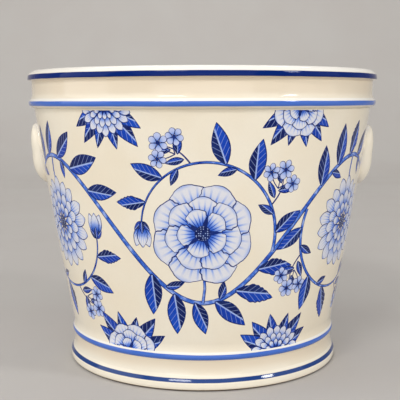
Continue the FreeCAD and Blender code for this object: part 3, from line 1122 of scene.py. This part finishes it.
def print_band(bm):
    """Cut the print into the wall's outer face, each face with its ink and its place in its shape."""
    columns = [SEAM * (2 * step / TURN_STEPS - 1) for step in range(TURN_STEPS + 1)]
    rows = plate_rows()
    points = [Vector((x, y)) for x in columns for y in rows]
    edges = []
    for column in (0, TURN_STEPS):
        first = column * len(rows)
        edges += [(first + row, first + row + 1) for row in range(len(rows) - 1)]
    areas = list(plate_outlines(flower_scroll()))
    outlines = [outline for _, _, outline in areas]
    for outline in outlines:
        first = len(points)
        points += outline
        edges += [(first + index, first + (index + 1) % len(outline)) for index in range(len(outline))]
    cut, _, triangles, *_ = delaunay_2d_cdt(points, edges, [], TRIANGLES_TO_HULL, WELD, False)
    middles = np.array(cut)[np.array(triangles)].mean(axis=1)
    front = front_outlines(outlines, middles)
    motif = bm.loops.layers.uv.new("motif")
    tone = bm.faces.layers.float.new("tone")
    verts = [bm.verts.new(wall_point(spot)) for spot in cut]
    for triangle, middle, number in zip(triangles, middles, front):
        if abs(middle[0]) > SEAM:
            continue
        face = bm.faces.new([verts[index] for index in triangle])
        if number < 0:
            continue
        shape, shift, _ = areas[number]
        face.material_index = shape.ink
        face[tone] = shape.tone
        for loop, index in zip(face.loops, triangle):
            loop[motif].uv = shape.motif_place(cut[index] - shift)
    bmesh.ops.delete(bm, geom=[vert for vert in verts if not vert.link_faces], context="VERTS")


# The turned sections
def rim_collar():
    bm = spin_outline(run("collar_joint", "inner_collar_joint"), closed=True)
    for face in bm.faces:
        middle = face.calc_center_median() / MM
        in_band = abs(middle.z - RIM_BAND_HEIGHT) < RIM_BAND_WIDTH / 2
        face.material_index = int(in_band and hypot(middle.x, middle.y) > COLLAR_PAINT_RADIUS)
    finished_piece(bm, "glazed_collar", "rim_collar", [collar_glaze, rim_band_glaze])


def foot_ring():
    joint_faces = [(REBATE_RADIUS, FOOT_TOP), (REBATE_RADIUS, FLOOR_UNDERSIDE)]
    bm = spin_outline(run("underside_joint", "foot_joint") + joint_faces, closed=True)
    finished_piece(bm, "glazed_foot", "foot_ring", [foot_glaze])


def base_floor():
    seat = [(FLOOR_RADIUS, FLOOR_UNDERSIDE), (FLOOR_RADIUS, FOOT_TOP), (COVE_RADIUS, FOOT_TOP)]
    outline = run("underside_middle", "underside_joint") + seat + run("inner_floor_joint", "floor_middle")
    bm = spin_outline(outline, closed=False)
    finished_piece(bm, "glazed_floor", "base_floor", [cream_glaze])


# How near a point has to be to count as on the print, and the step for the wall's slope, in millimetres
ON_PRINT_HEIGHT = 0.01
ON_PRINT_DEPTH = 0.02
SLOPE_STEP = 0.05

# Where the wall's strips lie on its chart, which is 1 high and 1 wide
CHART_MIDDLE = 0.5
CHART_PRINT_WIDTH = 0.97
CHART_PRINT_HEIGHT = 0.42
CHART_FRONT_LOW = 0.575
CHART_BACK_LOW = 0.145
CHART_PLAIN_WIDTH = 0.99
CHART_PLAIN_HEIGHT = 0.13
CHART_PLAIN_LOW = 0.005


def on_print(place):
    """Whether a point, in metres, lies on the printed stretch of the wall's outer face."""
    height = place.z / MM
    if not PRINT_FOOT - ON_PRINT_HEIGHT < height < PRINT_HEAD + ON_PRINT_HEIGHT:
        return False
    return abs(hypot(place.x, place.y) / MM - wall_radius(height)) < ON_PRINT_DEPTH


def print_normal(place):
    """The wall's own normal at a point of the print, or nothing elsewhere."""
    if not on_print(place):
        return Vector((0.0, 0.0, 0.0))
    height = place.z / MM
    slope = (wall_radius(height + SLOPE_STEP) - wall_radius(height - SLOPE_STEP)) / (2 * SLOPE_STEP)
    outward = Vector((place.x, place.y, 0.0)).normalized()
    return (outward - Vector((0.0, 0.0, slope))).normalized()


def outline_shares(outline):
    """How far along an outline each of its points lies, as a share of its whole length."""
    lengths = [0.0]
    for point, following in zip(outline, outline[1:]):
        lengths.append(lengths[-1] + dist(point, following))
    return [length / lengths[-1] for length in lengths]


def chart_wall(bm, outline):
    """Lay the wall out flat: the print's front and back in two strips, the plain faces in a third."""
    chart = bm.loops.layers.uv.new("OFBake")
    shares = outline_shares(outline)
    printed = {vert for vert in bm.verts if on_print(vert.co)}
    for face in bm.faces:
        middle = face.calc_center_median()
        around = atan2(middle.x, -middle.y)
        in_print = printed.issuperset(face.verts)
        in_front = abs(around) < pi / 2
        for loop in face.loops:
            place = loop.vert.co
            angle = atan2(place.x, -place.y)
            turn = around + (angle - around + pi) % FULL_TURN - pi
            if in_print:
                across = (turn if in_front else turn % FULL_TURN - pi) / pi * CHART_PRINT_WIDTH
                rise = (place.z / MM - PRINT_FOOT) / (PRINT_HEAD - PRINT_FOOT)
                up = (CHART_FRONT_LOW if in_front else CHART_BACK_LOW) + rise * CHART_PRINT_HEIGHT
            else:
                across = turn / FULL_TURN * CHART_PLAIN_WIDTH
                spot = (hypot(place.x, place.y) / MM, place.z / MM)
                nearest = min(range(len(outline)), key=lambda index: dist(outline[index], spot))
                up = CHART_PLAIN_LOW + shares[nearest] * CHART_PLAIN_HEIGHT
            loop[chart].uv = (CHART_MIDDLE + across, up)


def body_wall():
    foot_face = [(COVE_RADIUS, FOOT_TOP)]
    outline = (
        run("print_head", "collar_joint")
        + run("inner_collar_joint", "inner_floor_joint")
        + foot_face
        + run("foot_joint", "print_foot")
    )
    bm = spin_outline(outline, closed=False)
    print_band(bm)
    bmesh.ops.remove_doubles(bm, verts=bm.verts, dist=PRINT_WELD * MM)
    chart_wall(bm, outline)
    piece = finished_piece(bm, "printed_wall", "body_wall", PRINT_GLAZES)
    piece.data.normals_split_custom_set_from_vertices([print_normal(vert.co) for vert in piece.data.vertices])


# The moulded lugs
LUG_SEGMENTS = 72
LUG_RINGS = 40
LUG_SINK = 0.6
LUG_SHORTENING = 1.2
LUG_REACH = lug_high.x - LUG_SHORTENING
LUG_HALF_WIDTH = lug_high.y
LUG_HALF_HEIGHT = (lug_high.z - lug_low.z) / 2
LUG_MIDDLE = (lug_high.z + lug_low.z) / 2
RIGHT_LUG_DROP = 1.5
LUG_TOP_SQUARENESS = 5.0
LUG_SIDE_SQUARENESS = 2.1
LUG_FOOT_SQUARENESS = 2.0
LUG_SHOULDER_POWER = 3.0
LUG_TOE_POWER = 2.2


def lug_point(direction, side, drop):
    """Where a point of a unit ball lies on the lug: the front half swells out, the back lies in the wall."""
    out, across, up = direction
    reach = hypot(across, up)
    cosine, sine = (across / reach, up / reach) if reach else (1.0, 0.0)
    power = LUG_SHOULDER_POWER if sine > 0 else LUG_TOE_POWER
    stretch = (
        (abs(cosine) / LUG_HALF_WIDTH) ** power + (abs(sine) / LUG_HALF_HEIGHT) ** power
    ) ** (-1 / power)
    y = reach * cosine * stretch
    z = LUG_MIDDLE - drop + reach * sine * stretch
    wall = sqrt(wall_radius(z) ** 2 - y ** 2)
    ends = (LUG_TOP_SQUARENESS if sine > 0 else LUG_FOOT_SQUARENESS) - LUG_SIDE_SQUARENESS
    squareness = LUG_SIDE_SQUARENESS + ends * sine ** 2
    x = wall - LUG_SINK
    if out > 0:
        swell = (1 - min(1.0, reach) ** squareness) ** (1 / squareness)
        x += (LUG_REACH - wall + LUG_SINK) * swell
    return Vector((x * side, y, z)) * MM


def lug_handle(name, node, side, drop):
    bm = bmesh.new()
    bmesh.ops.create_uvsphere(bm, u_segments=LUG_SEGMENTS, v_segments=LUG_RINGS, radius=1.0)
    for vert in bm.verts:
        vert.co = lug_point((vert.co.z, vert.co.x, vert.co.y), side, drop)
    finished_piece(bm, name, node, [lug_glaze])


rim_collar()
foot_ring()
base_floor()
body_wall()
lug_handle("right_lug", "right_handle", 1, RIGHT_LUG_DROP)
lug_handle("left_lug", "left_handle", -1, 0.0)


# Stage, light and camera
def studio_paper():
    material, tree, shader = new_material("studio_paper")
    fibres = noise(tree, *PAPER_FIBRES)
    paper = mixed(tree, fibres, linear(193, 189, 184), linear(191, 186, 181))
    set_inputs(tree, shader, {"Base Color": paper, "Roughness": 0.9, "Specular IOR Level": 0.2})
    return material


def stage_sweep():
    """A plain pale floor that sweeps up into a grey backdrop, in metres."""
    half_width = 2.5
    front = -2.0
    turn = 1.1
    back = 1.7
    top = 2.2
    steps = 24
    line = [(front, 0.0)]
    bend = back - turn
    for step in range(steps + 1):
        angle = step / steps * pi / 2
        line.append((turn + bend * sin(angle), bend * (1 - cos(angle))))
    line.append((back, top))
    bm = bmesh.new()
    verts = [bm.verts.new((-half_width, y, z)) for y, z in line]
    edges = [bm.edges.new(pair) for pair in zip(verts, verts[1:])]
    swept = bmesh.ops.extrude_edge_only(bm, edges=edges)["geom"]
    moved = [item for item in swept if isinstance(item, bmesh.types.BMVert)]
    bmesh.ops.translate(bm, verts=moved, vec=(2 * half_width, 0, 0))
    smooth_object(bm, "studio_sweep", [studio_paper()])


# Each lamp's place, aim and size in metres, and its power in watts
POT_MIDDLE = (0.0, 0.0, 0.08)
LAMPS = {
    "front_fill": ((-0.2, -2.2, 1.2), POT_MIDDLE, (3.6, 1.8), 16.6),
    "low_fill": ((0.0, -2.0, 0.3), (0.0, 0.0, 0.1), (2.4, 0.4), 5.2),
    "key_softbox": ((-0.35, -0.9, 0.95), POT_MIDDLE, (0.36, 0.2), 3.8),
    "right_softbox": ((1.05, -0.61, 0.8), POT_MIDDLE, (0.2, 0.2), 4.1),
    "left_fill": ((-1.6, -0.3, 0.85), POT_MIDDLE, (1.3, 1.8), 9.8),
    "right_fill": ((1.6, -0.45, 0.55), POT_MIDDLE, (1.2, 1.0), 2.0),
    "top_softbox": ((0.0, -0.4, 1.25), (0.0, -0.05, 0.1), (1.2, 0.35), 0.9),
    "backdrop_softbox": ((0.0, 0.85, 1.5), (0.0, 1.6, 0.2), (1.6, 0.4), 8.5),
}


def soft_light(name, place, aim, size, power):
    lamp = bpy.data.lights.new(name, "AREA")
    lamp.shape = "RECTANGLE"
    lamp.size, lamp.size_y = size
    lamp.energy = power
    light = add_object(name, lamp)
    light.location = place
    light.rotation_euler = (Vector(aim) - Vector(place)).to_track_quat("-Z", "Y").to_euler()


def studio_light():
    world = bpy.data.worlds.new("studio_air")
    bpy.context.scene.world = world
    world.use_nodes = True
    background = world.node_tree.nodes["Background"]
    set_inputs(world.node_tree, background, {"Color": linear(235, 235, 235), "Strength": 0.38})
    for name, lamp in LAMPS.items():
        soft_light(name, *lamp)


def photo_camera():
    camera = bpy.data.cameras.new("photo_camera")
    camera.sensor_width = 36.0
    camera.lens = 75.84
    camera.clip_start = 0.01
    dip = 6.77
    lean = 0.12
    viewer = add_object("photo_camera", camera)
    viewer.location = (-1.27 * MM, -503.7 * MM, 151.3 * MM)
    viewer.rotation_euler = (radians(90 - dip), radians(lean), 0)
    bpy.context.scene.camera = viewer


stage_sweep()
studio_light()
photo_camera()
bpy.context.scene.view_settings.view_transform = "Standard"
